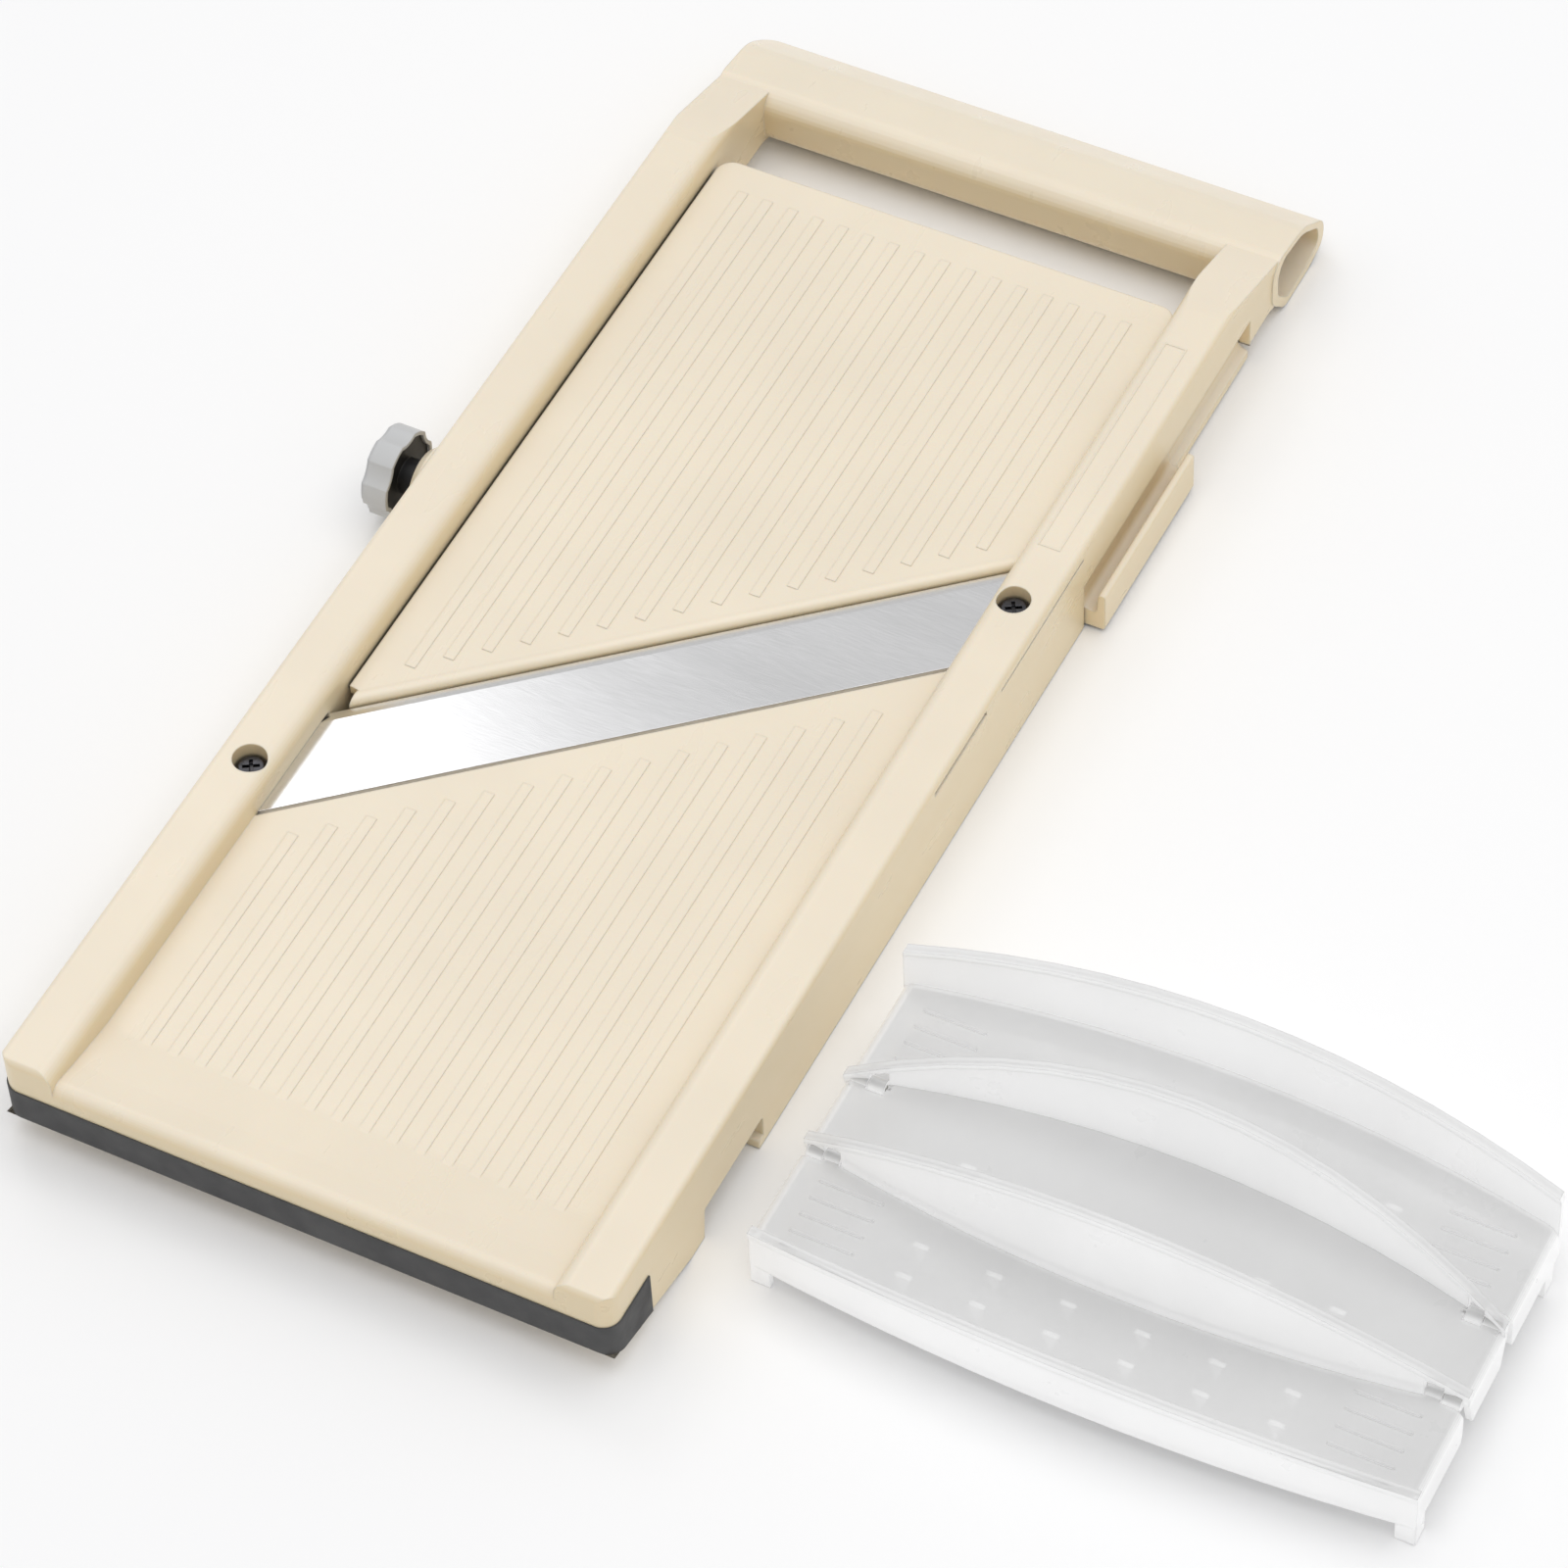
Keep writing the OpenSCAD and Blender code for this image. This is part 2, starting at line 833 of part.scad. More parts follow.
module knob_screw() {
    head_x = knob_x - knob_w + 0.2;
    color([0.55, 0.55, 0.57])
    difference() {
        union() {
            bar_x(head_x, head_x + 1.4, y_dial, dial_z, 3);
            bar_x(head_x + 1, head_x + 5, y_dial, dial_z, knob_screw_r);
        }
        for (turn = [0, 90])
            translate([head_x, y_dial, dial_z])
                rotate([turn, 0, 0])
                    translate([-cut, -1.7, -0.35])
                        cube([1.7, 3.4, 0.7]);
    }
}

module dial_shaft() {
    start = knob_x - knob_w + knob_recess;
    color([0.75, 0.75, 0.77])
    difference() {
        bar_x(start, shaft_end, y_dial, dial_z, shaft_r);
        bar_x(start - cut, knob_x - knob_w + 5.2, y_dial, dial_z, knob_screw_r);
        difference() {
            bar_x(clip_x, clip_x + clip_t, y_dial, dial_z, shaft_r + cut);
            bar_x(clip_x - cut, clip_x + clip_t + cut, y_dial, dial_z, groove_r);
        }
    }
}

// Spiral cam: its height falls evenly as the dial turns, then steps back along a chord
module lift_cam() {
    step = 10;
    rotate([90, 0, 90])
        linear_extrude(cam_w)
            difference() {
                polygon([
                    for (turn = [0:step:cam_turn])
                        (cam_high - cam_lift * turn / cam_turn) * [cos(90 - turn), sin(90 - turn)]
                ]);
                circle(r = shaft_r);
            }
}

module lift_cams() {
    color([0.85, 0.85, 0.82])
    for (i = [1, 2])
        translate([web_x - 4 - cam_w - (i - 1) * cam_pitch, y_dial, dial_z])
            lift_cam();
}

module shaft_bush() {
    flange_x = -half_w - boss_out - bush_flange_t;
    color([0.92, 0.92, 0.90])
    difference() {
        union() {
            bar_x(flange_x, flange_x + bush_flange_t, y_dial, dial_z, bush_flange_r);
            bar_x(flange_x, -cavity_out, y_dial, dial_z, bush_r);
        }
        bar_x(flange_x - cut, -cavity_out + cut, y_dial, dial_z, shaft_r + running);
    }
}

module shaft_clip() {
    color([0.45, 0.45, 0.47])
    difference() {
        bar_x(clip_x, clip_x + clip_t, y_dial, dial_z, clip_r);
        bar_x(clip_x - cut, clip_x + clip_t + cut, y_dial, dial_z, groove_r);
        block([clip_x - cut, y_dial - groove_r * 0.9, dial_z],
              [clip_x + clip_t + cut, y_dial + groove_r * 0.9, dial_z + clip_r + cut]);
    }
}

// ---- Blade drawer ----

// Section of the drawer front: a lip at the bottom and a hollow face that rises to the top
function scoop(x_lip, x_top, z_top) = concat(
    [[door_in, door_z0], [x_lip - 1, door_z0], [x_lip, door_z0 + 1], [x_lip, lip_z]],
    [for (a = [0:15:90]) [
        x_lip - 1 - (x_lip - 1 - x_top) * sin(a),
        z_top - (z_top - lip_z - 0.4) * cos(a)
    ]],
    [[door_in, z_top]]
);

// Section of the finger tab: an upright plate with a finger trough behind it
function finger_tab(z_top) =
    let (
        plate_out = half_w + tab_out,
        plate_in = plate_out - tab_t
    )
    rounded([
        [door_in, door_z0, 0],
        [plate_out, door_z0, 1.2],
        [plate_out, door_top - 2, 0.8],
        [plate_in, door_top - 2, 0.8],
        [plate_in - 0.4, door_top - 9, 1.4],
        [half_w - 1.2, door_top - 8, 1.8],
        [half_w - 1.8, z_top, 0.5],
        [door_in, z_top, 0]
    ]);

module blade_drawer() {
    x0 = half_w - drawer_reach;
    door_y0 = drawer_y0 - drawer_play + 0.5;
    door_y1 = wall_end - 0.5;
    front_top = door_top - 0.6;
    color([0.93, 0.88, 0.80])
    union() {
        difference() {
            block([x0, drawer_y0, drawer_z0], [door_in + 1, drawer_y1, drawer_top]);
            block([x0 + drawer_wall, drawer_in0, drawer_z0 + drawer_wall],
                  [door_in, drawer_in1, drawer_top + cut]);
        }
        for (i = [1, 2])
            let (y = drawer_in0 + i * lane + (i - 1) * divider_t)
            block([x0 + drawer_wall / 2, y, drawer_z0 + drawer_wall / 2],
                  [door_in + 0.5, y + divider_t, drawer_z0 + drawer_wall + 3]);
        front_plate(door_y0, door_y0 + tab_l, finger_tab(front_top));
        front_plate(door_y0 + tab_l, door_y1, scoop(half_w - 0.3, door_in + 2, front_top));
    }
}

// Flat strip with a row of pointed teeth along its rear edge
module comb_blade(slot, pitch) {
    y0 = drawer_in0 + slot * (lane + divider_t) + comb_margin;
    y1 = y0 + lane - 2 * comb_margin;
    root = y1 - comb_tooth_h;
    teeth = floor((comb_x1 - comb_x0 - 4) / pitch);
    x0 = (comb_x0 + comb_x1 - teeth * pitch) / 2;
    z = drawer_z0 + drawer_wall;
    color([0.80, 0.81, 0.83])
    flat_plate(z, z + comb_t, concat(
        [[comb_x0, root], [comb_x0, y0], [comb_x1, y0], [comb_x1, root]],
        [for (i = [teeth - 1:-1:0]) each [
            [x0 + (i + 0.85) * pitch, root],
            [x0 + (i + 0.5) * pitch, y1],
            [x0 + (i + 0.15) * pitch, root]
        ]]
    ));
}

module comb_blade_coarse() {
    comb_blade(0, 8);
}

module comb_blade_medium() {
    comb_blade(1, 4);
}

module comb_blade_fine() {
    comb_blade(2, 2.4);
}

// ---- Hand guard ----

// Points of an edge across the guard that bows away from a straight line
function bow(x, rise) = rise * (1 - pow(x / guard_half, 2));
function bow_edge(y, rise) = [
    for (i = [0:bow_steps])
        let (x = guard_half * (2 * i / bow_steps - 1))
        [guard_x + x, y + bow(x, rise)]
];
function reversed(list) = [for (i = [len(list) - 1:-1:0]) list[i]];

// Strip along a bowed edge, between a flat or arched lower and an arched upper line
module bowed_strip(y, rise, extra, low, high) {
    intersection() {
        flat_plate(0, body_w,
            concat(bow_edge(y - extra, rise), reversed(bow_edge(y + guard_t + extra, rise))));
        front_plate(y - wall_reach, y + wall_reach, concat(low, reversed(high)));
    }
}

// Upright wall that follows a bowed edge, arched in front view, with a bead along its top
module bowed_wall(y, rise, z0, end_h, arch_h) {
    top = guard_h + end_h;
    bowed_strip(y, rise, 0, bow_edge(z0, 0), bow_edge(top - bead_h / 2, arch_h));
    bowed_strip(y, rise, bead_w, bow_edge(top - bead_h, arch_h), bow_edge(top, arch_h));
}

// Roof and side flanges between two stations; a flange leans back from an end that folds
module guard_shell(y0, y1, bow0, bow1, folds0, folds1) {
    outer = guard_half;
    inner = guard_half - guard_t;
    far0 = y0 - wall_reach;
    far1 = y1 + wall_reach;
    intersection() {
        translate([guard_x, 0, 0])
            front_plate(far0, far1, concat(
                rounded([
                    [-outer, flange_z, 0],
                    [-outer, guard_h, guard_round],
                    [outer, guard_h, guard_round],
                    [outer, flange_z, 0]
                ]),
                reversed(rounded([
                    [-inner, flange_z, 0],
                    [-inner, guard_h - guard_t, guard_round - guard_t],
                    [inner, guard_h - guard_t, guard_round - guard_t],
                    [inner, flange_z, 0]
                ]))
            ));
        flat_plate(0, guard_h + cut, concat(bow_edge(y0, bow0), reversed(bow_edge(y1, bow1))));
        side_plate(guard_x - outer - cut, guard_x + outer + cut, [
            [folds0 ? y0 + flange_lean : far0, flange_z],
            [folds0 ? y0 : far0 - cut, guard_h - guard_t],
            [far0 - cut, guard_h - guard_t],
            [far0 - cut, guard_h + cut],
            [far1 + cut, guard_h + cut],
            [far1 + cut, guard_h - guard_t],
            [folds1 ? y1 : far1 + cut, guard_h - guard_t],
            [folds1 ? y1 - flange_lean : far1, flange_z]
        ]);
    }
}

// Places children at the two ends of a fold, mirrored about the guard's middle
module fold_ends() {
    for (side = [0, 1])
        translate([guard_x, 0, 0])
            mirror([side, 0, 0])
                children();
}

// Knuckle on the grip panel, next to its flange
module grip_knuckle(y, inward) {
    x1 = guard_half - guard_t;
    bar_x(x1 - knuckle_w, x1 + 0.2, y, fold_z, knuckle_r);
    block([x1 - knuckle_w, min(y, y + inward * 3), guard_h - guard_t],
          [x1, max(y, y + inward * 3), guard_h]);
}

// Knuckle on an outer panel, just inboard of the grip knuckle
module leaf_knuckle(y, inward) {
    x1 = guard_half - guard_t - knuckle_w - knuckle_gap;
    bar_x(x1 - knuckle_w, x1, y, fold_z, knuckle_r);
    block([x1 - knuckle_w, min(y, y + inward * 7), guard_h - guard_t],
          [x1, max(y, y + inward * 7), guard_h]);
}

// Room left in the grip panel for a leaf knuckle and the bridge that carries it
module leaf_clearance(y, outward) {
    x1 = guard_half - guard_t - knuckle_w;
    x0 = x1 - knuckle_w - 2 * knuckle_gap;
    far = y - outward * bridge_reach;
    block([x0, min(y - knuckle_room, far), 0],
          [x1, max(y + knuckle_room, far), guard_h + 4]);
}

// Room left in an outer panel for a grip knuckle
module grip_clearance(y) {
    block([guard_half - guard_t - knuckle_w - knuckle_gap, y - knuckle_room, 0],
          [guard_half + cut, y + knuckle_room, guard_h + 4]);
}

module pin_bore(y, play) {
    x1 = guard_half - guard_t;
    bar_x(x1 - 2 * knuckle_w - 2 * knuckle_gap - cut, x1, y, fold_z, guard_pin_r + play);
}

// Six pointed fins hanging below the plate
module spike_row(y) {
    for (i = [0:5])
        translate([guard_x + (i - 2.5) * spike_pitch, 0, 0])
            front_plate(y - spike_t / 2, y + spike_t / 2, [
                [-spike_w / 2, guard_h - guard_t / 2],
                [spike_w / 2, guard_h - guard_t / 2],
                [0, guard_h - guard_t - spike_l]
            ]);
}

// Short grip lines near both ends of a panel
module end_lines(y, count) {
    fold_ends()
        for (i = [0:count - 1])
            block([guard_half - 24, y + i * line_pitch, guard_h - 0.3],
                  [guard_half - 8, y + i * line_pitch + line_w, guard_h + line_h]);
}

module guard_front_panel() {
    color([0.93, 0.93, 0.93])
    difference() {
        union() {
            guard_shell(guard_y, fold_y1 - fold_gap / 2, front_bow, grip_front_bow, false, true);
            bowed_wall(guard_y, front_bow, flange_z, 1, 3.5);
            fold_ends() {
                block([guard_half - leg_w, guard_y, 0],
                      [guard_half, guard_y + guard_t, flange_z + 2]);
                block([guard_half - guard_t, guard_y, 0],
                      [guard_half, guard_y + leg_w, flange_z + 1]);
            }
            spike_row(guard_y + 6);
            spike_row(guard_y + 15);
            end_lines(guard_y + 5, 4);
            fold_ends()
                leaf_knuckle(fold_y1, -1);
        }
        fold_ends() {
            grip_clearance(fold_y1);
            pin_bore(fold_y1, running);
        }
    }
}

module guard_grip_panel() {
    color([0.93, 0.93, 0.93])
    difference() {
        union() {
            difference() {
                union() {
                    guard_shell(fold_y1 + fold_gap / 2, fold_y2 - fold_gap / 2,
                                grip_front_bow, grip_rear_bow, true, true);
                    bowed_wall(fold_y1 + fold_gap / 2, grip_front_bow,
                               guard_h - guard_t, 2, 24);
                    bowed_wall(fold_y2 - fold_gap / 2 - guard_t, grip_rear_bow,
                               guard_h - guard_t, 2, 20);
                }
                fold_ends() {
                    leaf_clearance(fold_y1, 1);
                    leaf_clearance(fold_y2, -1);
                }
            }
            fold_ends() {
                grip_knuckle(fold_y1, 1);
                grip_knuckle(fold_y2, -1);
            }
            spike_row((fold_y1 + fold_y2) / 2);
        }
        fold_ends() {
            pin_bore(fold_y1, 0);
            pin_bore(fold_y2, 0);
        }
    }
}

module guard_rear_panel() {
    wall_h = 12;
    arch_h = 7.5;
    color([0.93, 0.93, 0.93])
    difference() {
        union() {
            guard_shell(fold_y2 + fold_gap / 2, guard_end, grip_rear_bow, rear_bow, true, false);
            intersection() {
                bowed_wall(guard_end - guard_t, rear_bow, flange_z, wall_h, arch_h);
                translate([guard_x, 0, 0])
                    front_plate(fold_y2, guard_end + wall_reach, rounded([
                        [-guard_half, flange_z, 0],
                        [guard_half, flange_z, 0],
                        [guard_half, guard_h + wall_h + arch_h, 10],
                        [-guard_half, guard_h + wall_h + arch_h, 10]
                    ]));
            }
            fold_ends()
                block([guard_half - guard_t, guard_end - leg_w - 3, 0],
                      [guard_half, guard_end - 3, flange_z + 1]);
            spike_row(fold_y2 + 20);
            end_lines(fold_y2 + 8, 4);
            fold_ends()
                leaf_knuckle(fold_y2, 1);
        }
        fold_ends() {
            grip_clearance(fold_y2);
            pin_bore(fold_y2, running);
        }
    }
}

module guard_pins(y) {
    x1 = guard_half - guard_t;
    color([0.88, 0.88, 0.88])
    fold_ends()
        bar_x(x1 - 2 * knuckle_w - knuckle_gap, x1, y, fold_z, guard_pin_r);
}

module guard_front_hinge_pins() {
    guard_pins(fold_y1);
}

module guard_rear_hinge_pins() {
    guard_pins(fold_y2);
}

frame();
rubber_foot();
main_blade();
blade_screws();
blade_nuts();
adjust_table();
table_hinge_pins();
thickness_knob();
knob_hub();
knob_screw();
dial_shaft();
lift_cams();
shaft_bush();
shaft_clip();
blade_drawer();
comb_blade_coarse();
comb_blade_medium();
comb_blade_fine();
guard_front_panel();
guard_grip_panel();
guard_rear_panel();
guard_front_hinge_pins();
guard_rear_hinge_pins();
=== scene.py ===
"""Looks, light and camera for the mandoline slicer; every shape and place comes from the frame."""
import json
import math

import bpy
from mathutils import Matrix, Vector

MM = 0.001

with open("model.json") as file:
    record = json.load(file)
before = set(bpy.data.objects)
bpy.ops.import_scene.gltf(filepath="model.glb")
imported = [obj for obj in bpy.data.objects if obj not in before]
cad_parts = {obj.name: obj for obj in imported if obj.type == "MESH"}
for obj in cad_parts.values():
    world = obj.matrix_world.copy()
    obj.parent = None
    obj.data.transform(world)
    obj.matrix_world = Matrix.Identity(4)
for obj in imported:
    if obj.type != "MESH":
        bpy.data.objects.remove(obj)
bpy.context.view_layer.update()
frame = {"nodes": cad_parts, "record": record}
scene = bpy.context.scene


# ---- Shader helpers ----

BEVEL_SAMPLES = 6
GAP_SAMPLES = 8

# Input and output numbers of a Mix node that mixes colours
MIX_FACTOR = 0
MIX_FIRST = 6
MIX_SECOND = 7
MIX_RESULT = 2

# How far the rounded normal agrees with the true one, at an edge and on a flat face
AGREES_AT_EDGE = 0.75
AGREES_ON_FLAT = 0.995
EDGE_SHARE = 0.6

# Open share of the sky seen from deep in a gap, and at its mouth
GAP_DEEP = 0.152
GAP_MOUTH = 0.38

# Steepness, as the size of the normal's Z, at which a face counts as upright or level
UPRIGHT_Z = 0.3
LEVEL_Z = 0.9


def srgb(red, green, blue):
    """Linear colour from 8-bit sRGB values."""
    def linear(value):
        value /= 255
        return value / 12.92 if value <= 0.04045 else ((value + 0.055) / 1.055) ** 2.4
    return (linear(red), linear(green), linear(blue), 1.0)


class Shader:
    """A node material with its Principled shader, built up one feature at a time."""

    def __init__(self, name, **sockets):
        self.material = bpy.data.materials.new(name)
        self.material.use_nodes = True
        self.nodes = self.material.node_tree.nodes
        self.links = self.material.node_tree.links
        self.shader = self.nodes["Principled BSDF"]
        for socket, value in sockets.items():
            self.shader.inputs[socket.replace("_", " ")].default_value = value
        self.coords = self.nodes.new("ShaderNodeTexCoord")
        self.normal = None

    def noise(self, size_mm, detail, stretch=(1, 1, 1), turn=0.0):
        """Noise whose features are about size_mm across, stretched along some axes."""
        mapping = self.nodes.new("ShaderNodeMapping")
        mapping.inputs["Rotation"].default_value = (0, 0, turn)
        mapping.inputs["Scale"].default_value = [1 / (size_mm * MM * s) for s in stretch]
        texture = self.nodes.new("ShaderNodeTexNoise")
        texture.inputs["Scale"].default_value = 1.0
        texture.inputs["Detail"].default_value = detail
        self.links.new(self.coords.outputs["Object"], mapping.inputs["Vector"])
        self.links.new(mapping.outputs["Vector"], texture.inputs["Vector"])
        return texture.outputs["Fac"]

    def span(self, value, low, high, start=0.3, end=0.7):
        """The value spread from start..end onto low..high."""
        node = self.nodes.new("ShaderNodeMapRange")
        node.inputs["From Min"].default_value = start
        node.inputs["From Max"].default_value = end
        node.inputs["To Min"].default_value = low
        node.inputs["To Max"].default_value = high
        self.links.new(value, node.inputs["Value"])
        return node.outputs["Result"]

    def mix(self, factor, first, second):
        """Colour mix; first and second are colours or sockets."""
        node = self.nodes.new("ShaderNodeMix")
        node.data_type = "RGBA"
        self.links.new(factor, node.inputs[MIX_FACTOR])
        for index, value in ((MIX_FIRST, first), (MIX_SECOND, second)):
            if isinstance(value, tuple):
                node.inputs[index].default_value = value
            else:
                self.links.new(value, node.inputs[index])
        return node.outputs[MIX_RESULT]

    def colour(self, value):
        self.links.new(value, self.shader.inputs["Base Color"])

    def painted_glow(self, value):
        """Painted light: emission that stands in for light gathered inside a translucent body and
        given off by its thin walls.
        """
        self.shader.inputs["Emission Strength"].default_value = 1.0
        self.links.new(value, self.shader.inputs["Emission Color"])

    def alpha(self, value):
        self.links.new(value, self.shader.inputs["Alpha"])

    def roughness(self, value):
        self.links.new(value, self.shader.inputs["Roughness"])

    def rounded_normal(self, radius_mm):
        """The normal that the faces would have with their sharp edges rounded."""
        node = self.nodes.new("ShaderNodeBevel")
        node.samples = BEVEL_SAMPLES
        node.inputs["Radius"].default_value = radius_mm * MM
        return node.outputs["Normal"]

    def use_normal(self, normal):
        self.normal = normal
        self.links.new(normal, self.shader.inputs["Normal"])

    def soften_edges(self, radius_mm):
        """Rounds sharp edges in the shading, as a moulded or rolled edge looks."""
        self.use_normal(self.rounded_normal(radius_mm))

    def edge_mask(self, radius_mm):
        """EDGE_SHARE along sharp edges, 0 on flat faces."""
        geometry = self.nodes.new("ShaderNodeNewGeometry")
        agreement = self.nodes.new("ShaderNodeVectorMath")
        agreement.operation = "DOT_PRODUCT"
        self.links.new(self.rounded_normal(radius_mm), agreement.inputs[0])
        self.links.new(geometry.outputs["Normal"], agreement.inputs[1])
        return self.span(agreement.outputs["Value"], EDGE_SHARE, 0.0, AGREES_AT_EDGE, AGREES_ON_FLAT)

    def crevices(self, reach_mm):
        """1 deep inside narrow gaps, 0 in the open."""
        node = self.nodes.new("ShaderNodeAmbientOcclusion")
        node.samples = GAP_SAMPLES
        node.inputs["Distance"].default_value = reach_mm * MM
        return self.span(node.outputs["AO"], 1.0, 0.0, GAP_DEEP, GAP_MOUTH)

    def upright(self):
        """1 on upright faces, 0 on level ones."""
        axes = self.nodes.new("ShaderNodeSeparateXYZ")
        self.links.new(self.coords.outputs["Normal"], axes.inputs[0])
        size = self.nodes.new("ShaderNodeMath")
        size.operation = "ABSOLUTE"
        self.links.new(axes.outputs["Z"], size.inputs[0])
        return self.span(size.outputs["Value"], 1.0, 0.0, UPRIGHT_Z, LEVEL_Z)

    def scale(self, value, low, high):
        """A 0 to 1 value turned into a number between low and high."""
        return self.span(value, low, high, 0.0, 1.0)

    def bump(self, height, depth_mm, strength):
        """Small relief in the shading, on top of any relief or soft edge already there."""
        node = self.nodes.new("ShaderNodeBump")
        node.inputs["Distance"].default_value = depth_mm * MM
        node.inputs["Strength"].default_value = strength
        self.links.new(height, node.inputs["Height"])
        if self.normal is not None:
            self.links.new(self.normal, node.inputs["Normal"])
        self.use_normal(node.outputs["Normal"])


# ---- Materials ----

def scaled(colour, share):
    """The colour with each channel times the share, at most full."""
    return tuple(min(1.0, share * channel) for channel in colour[:3]) + (1.0,)


def moulded_plastic(name, colour, worn, roughness, edge_mm, painted_side_shade=None, **sockets):
    """Moulded plastic: faint cloudy colour, fine grain, paler edges, painted shade in tight gaps.

    Its upright faces can take their own colour, a painted shade darker and yellower than the top.
    """
    made = Shader(name, **sockets)
    cloud = made.span(made.noise(38, detail=3), 0.0, 1.0)
    body = made.mix(cloud, colour, scaled(colour, 0.955))
    # Painted shade: upright faces get the darker, yellower colour.
    if painted_side_shade is not None:
        body = made.mix(made.upright(), body, painted_side_shade)
    rubbed = made.mix(made.edge_mask(0.8 * edge_mm), body, worn)
    # Painted shade: tight gaps are darkened towards black, where shadow falls.
    painted_gap_shade = scaled(colour, 0.1)
    made.colour(made.mix(made.crevices(reach_mm=2.5), rubbed, painted_gap_shade))
    scuff = made.noise(9, detail=6, stretch=(1, 4, 1))
    made.roughness(made.span(scuff, roughness - 0.05, roughness + 0.07))
    made.soften_edges(edge_mm)
    fine_grain = made.noise(0.35, detail=2)
    made.bump(fine_grain, depth_mm=0.02, strength=0.25)
    slow_waves = made.noise(22, detail=1)
    made.bump(slow_waves, depth_mm=0.05, strength=0.2)
    return made.material


def ivory_plastic():
    # Upright faces get a darker, yellower painted shade.
    return moulded_plastic(
        "ivory moulded plastic", srgb(239, 227, 206), worn=srgb(247, 239, 222),
        painted_side_shade=srgb(230, 212, 176), roughness=0.3, edge_mm=0.7,
        Subsurface_Weight=0.12, Subsurface_Radius=(0.9, 0.6, 0.35), Subsurface_Scale=0.004,
        Coat_Weight=0.12, Coat_Roughness=0.2)


def grey_plastic():
    return moulded_plastic(
        "grey moulded plastic", srgb(196, 197, 198), worn=srgb(222, 222, 222),
        roughness=0.4, edge_mm=0.5)


def black_plastic():
    return moulded_plastic(
        "black moulded plastic", srgb(22, 22, 23), worn=srgb(60, 60, 60),
        roughness=0.45, edge_mm=0.4)


def natural_nylon():
    return moulded_plastic(
        "natural nylon", srgb(232, 230, 222), worn=srgb(242, 241, 236), roughness=0.5, edge_mm=0.3,
        Subsurface_Weight=0.2, Subsurface_Radius=(1.0, 0.9, 0.8), Subsurface_Scale=0.003)


def milky_plastic():
    """Milky see-through plastic: level plates show what is below; walls give off painted light and
    edges carry a painted white highlight.
    """
    made = Shader("milky translucent plastic", IOR=1.49, Coat_Weight=0.2, Coat_Roughness=0.12)
    cloud = made.span(made.noise(30, detail=3), 0.0, 1.0)
    body = made.mix(cloud, srgb(230, 230, 230), srgb(224, 224, 224))
    # Painted highlight: sharp edges turn pure white.
    made.colour(made.mix(made.edge_mask(0.7), body, srgb(255, 255, 255)))
    upright = made.upright()
    # Painted light: upright walls give off grey light, though they are no lamp.
    made.painted_glow(made.mix(upright, srgb(0, 0, 0), srgb(140, 140, 140)))
    made.alpha(made.scale(upright, low=0.62, high=0.85))
    made.roughness(made.span(made.noise(12, detail=5), 0.26, 0.4))
    made.soften_edges(0.8)
    made.bump(made.noise(16, detail=1), depth_mm=0.06, strength=0.25)
    return made.material


def dark_rubber():
    """Matt rubber with a fine grain and dusty, rubbed edges."""
    made = Shader("dark rubber", Specular_IOR_Level=0.35)
    cloud = made.span(made.noise(14, detail=6), 0.0, 1.0)
    body = made.mix(cloud, srgb(66, 66, 67), srgb(78, 78, 78))
    made.colour(made.mix(made.edge_mask(0.8), body, srgb(104, 104, 104)))
    made.roughness(made.span(made.noise(6, detail=5), 0.52, 0.72))
    made.soften_edges(0.7)
    made.bump(made.noise(0.5, detail=3), depth_mm=0.05, strength=0.5)
    return made.material


def ground_steel(name, colour, roughness, turn):
    """Steel with fine grinding lines that run along one direction."""
    made = Shader(name, Metallic=1.0)
    lines = made.noise(0.12, detail=3, stretch=(60, 1, 1), turn=turn)
    broad = made.noise(14, detail=3, stretch=(6, 1, 1), turn=turn)
    line_mask = made.span(lines, 0.0, 1.0, start=0.35, end=0.65)
    made.colour(made.mix(line_mask, colour, scaled(colour, 0.88)))
    made.roughness(made.span(broad, roughness - 0.02, roughness + 0.03))
    made.soften_edges(0.15)
    made.bump(lines, depth_mm=0.002, strength=0.2)
    return made.material


def turned_steel(name, colour, roughness):
    """Small turned or plated steel with light speckle and bright rubbed edges."""
    made = Shader(name, Metallic=1.0)
    speckle = made.span(made.noise(0.9, detail=5), 0.0, 1.0)
    body = made.mix(speckle, colour, scaled(colour, 0.75))
    bright = scaled(colour, 1.7)
    made.colour(made.mix(made.edge_mask(0.2), body, bright))
    made.roughness(made.span(made.noise(2, detail=4), roughness - 0.08, roughness + 0.1))
    made.soften_edges(0.2)
    made.bump(made.noise(0.3, detail=3), depth_mm=0.01, strength=0.3)
    return made.material


# The blade's long edges run this far round from the slicer's width
BLADE_ANGLE = math.radians(40.5)

MATERIALS = {
    "ivory_plastic": ivory_plastic(),
    "dark_rubber": dark_rubber(),
    "blade_steel": ground_steel("ground blade steel", srgb(238, 238, 239), 0.2, -BLADE_ANGLE),
    "screw_steel": turned_steel("dark plated steel", srgb(84, 84, 88), 0.3),
    "plain_steel": turned_steel("plain steel", srgb(200, 200, 204), 0.28),
    "grey_plastic": grey_plastic(),
    "black_plastic": black_plastic(),
    "nylon": natural_nylon(),
    "milky_plastic": milky_plastic(),
}


def dress_nodes():
    """Gives every carried-over node the material of its slot."""
    slots = {part["node"]: part["material_slot"] for part in frame["record"]["subparts"]}
    for name, item in frame["nodes"].items():
        item.data.materials.clear()
        item.data.materials.append(MATERIALS[slots[name]])


# ---- Floor, light and camera ----

FLOOR_SIZE = 8
FLOOR_DROP = 0.2 * MM
LIGHTS_AIM = (0.05, 0.15, 0.0)

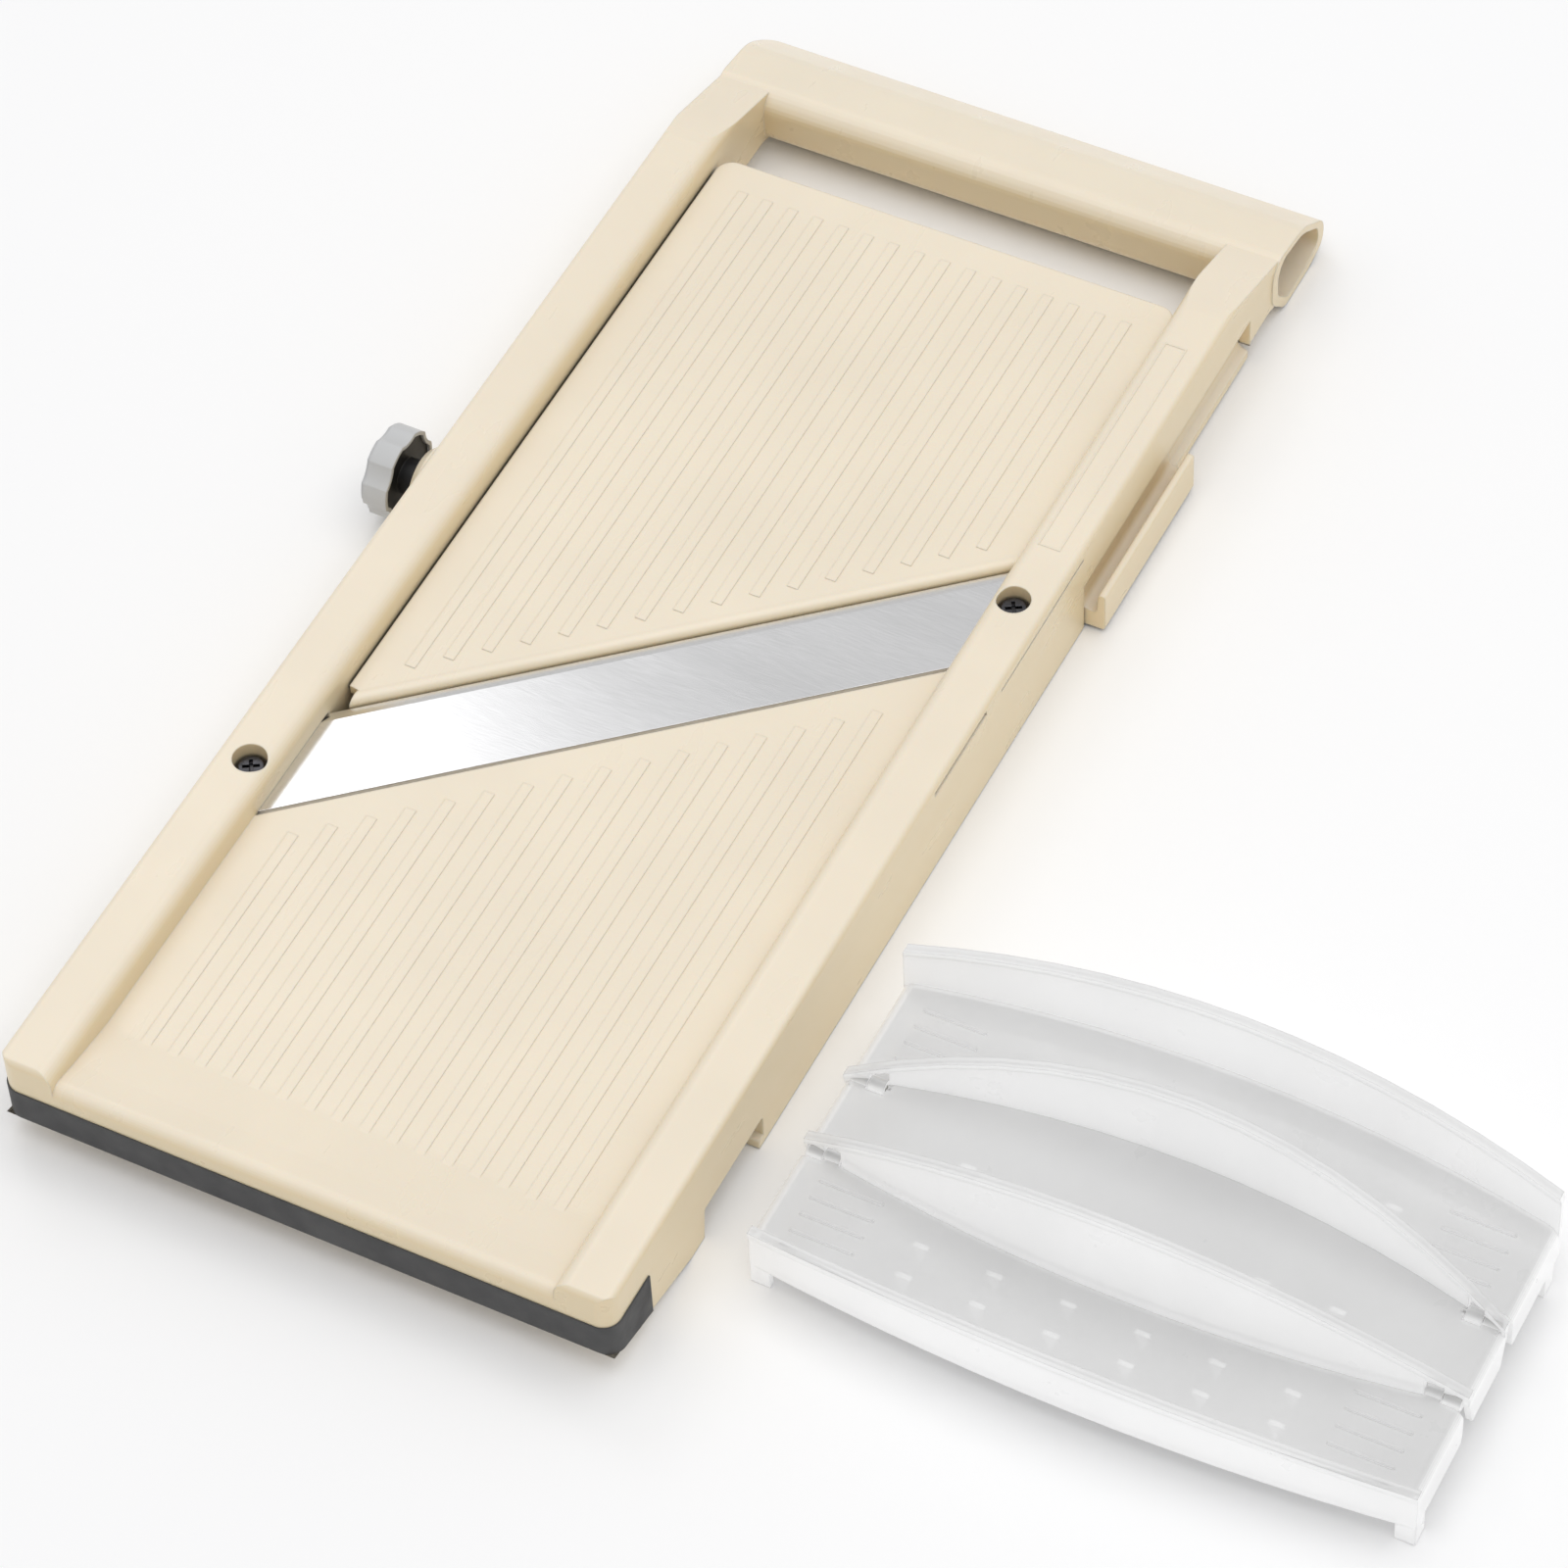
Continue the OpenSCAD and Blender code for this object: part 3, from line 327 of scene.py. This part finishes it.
# The camera that the photograph was taken with, as solved from the slicer's own corners
LENS_MM = 144.2
SENSOR_MM = 36
FAR_CLIP = 20
CAMERA_PLACE = Vector((0.51166, -0.7066, 1.1786))
CAMERA_FORWARD = Vector((-0.3128, 0.5498, -0.7745)).normalized()
CAMERA_RIGHT = Vector((0.8904, 0.4537, -0.0375))


def floor():
    """A wide pale floor, just under the feet so that no faces coincide."""
    bpy.ops.mesh.primitive_plane_add(size=FLOOR_SIZE, location=(0, 0, -FLOOR_DROP))
    plane = bpy.context.object
    plane.name = "floor"
    made = Shader("pale floor", Roughness=0.9, Specular_IOR_Level=0.1)
    made.colour(made.mix(made.noise(400, detail=2), srgb(252, 252, 252), srgb(248, 248, 249)))
    plane.data.materials.append(made.material)


def soft_light(name, place, size, power):
    """A square area light that points at the slicer."""
    data = bpy.data.lights.new(name, "AREA")
    data.shape = "SQUARE"
    data.size = size
    data.energy = power
    lamp = bpy.data.objects.new(name, data)
    lamp.location = place
    beam = Vector(LIGHTS_AIM) - Vector(place)
    lamp.rotation_euler = beam.to_track_quat("-Z", "Y").to_euler()
    scene.collection.objects.link(lamp)


def studio():
    """An even white surround, a broad light from above and a small one for the blade's glint."""
    world = bpy.data.worlds.new("studio")
    world.use_nodes = True
    background = world.node_tree.nodes["Background"]
    background.inputs["Color"].default_value = (1.0, 1.0, 1.0, 1.0)
    background.inputs["Strength"].default_value = 0.64
    scene.world = world
    soft_light("overhead", place=(0.3, 0.1, 1.9), size=2.0, power=17)
    soft_light("blade glint", place=(-0.98, 0.93, 1.5), size=0.6, power=1.8)


def camera():
    """The photograph's view: a long lens, high on the right of the front edge."""
    data = bpy.data.cameras.new("camera")
    data.lens = LENS_MM
    data.sensor_width = SENSOR_MM
    data.clip_end = FAR_CLIP
    view = bpy.data.objects.new("camera", data)
    forward = CAMERA_FORWARD
    right = (CAMERA_RIGHT - CAMERA_RIGHT.dot(forward) * forward).normalized()
    turned = Matrix((right, right.cross(forward), -forward)).transposed()
    view.matrix_world = Matrix.Translation(CAMERA_PLACE) @ turned.to_4x4()
    scene.collection.objects.link(view)
    scene.camera = view


scene.view_settings.view_transform = "Standard"
dress_nodes()
floor()
studio()
camera()
